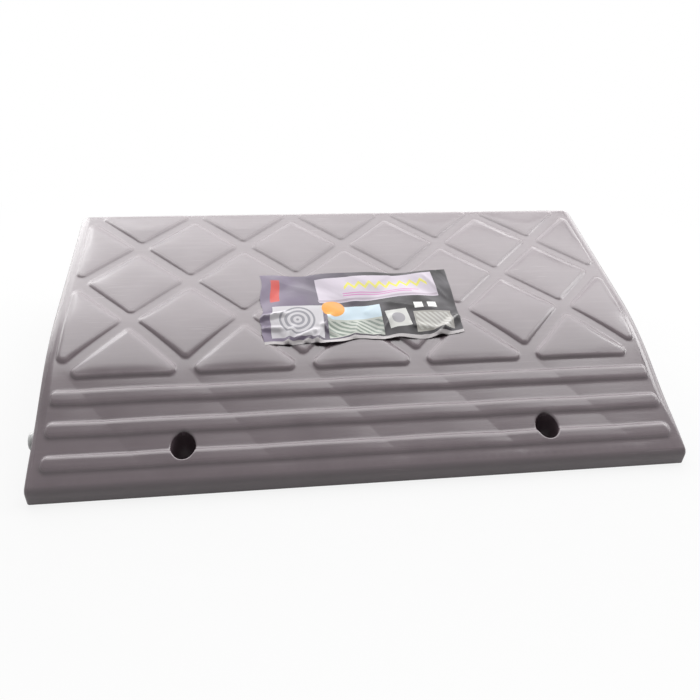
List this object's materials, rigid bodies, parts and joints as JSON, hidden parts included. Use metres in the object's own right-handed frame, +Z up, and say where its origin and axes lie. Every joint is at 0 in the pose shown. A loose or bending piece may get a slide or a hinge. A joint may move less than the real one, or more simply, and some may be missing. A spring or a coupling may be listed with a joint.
{
  "type": "kerb ramp",
  "caption": "Hollow moulded plastic wedge that lets a wheel climb a kerb, with a diamond tread, grip ribs at the toe and holes for fixing it to the ground.",
  "frame": {"origin": "on the ground, in the middle of the ramp's footprint", "axes": "+X along the kerb, +Y from the toe towards the kerb, +Z up"},
  "size_m": [0.588, 0.34, 0.11],
  "materials": {
    "grey_polyethylene": "satin, as moulded, with soft broad reflections",
    "natural_polyethylene": "satin, milky",
    "printed_film": "printed and varnished sheet, slightly crumpled"
  },
  "bodies": {
    "root": {"deck_shell": "grey_polyethylene", "base_tray": "grey_polyethylene", "fixing_sleeve_left": "grey_polyethylene", "fixing_sleeve_right": "grey_polyethylene", "side_plug": "natural_polyethylene", "product_label": "printed_film"}
  },
  "joints": []
}
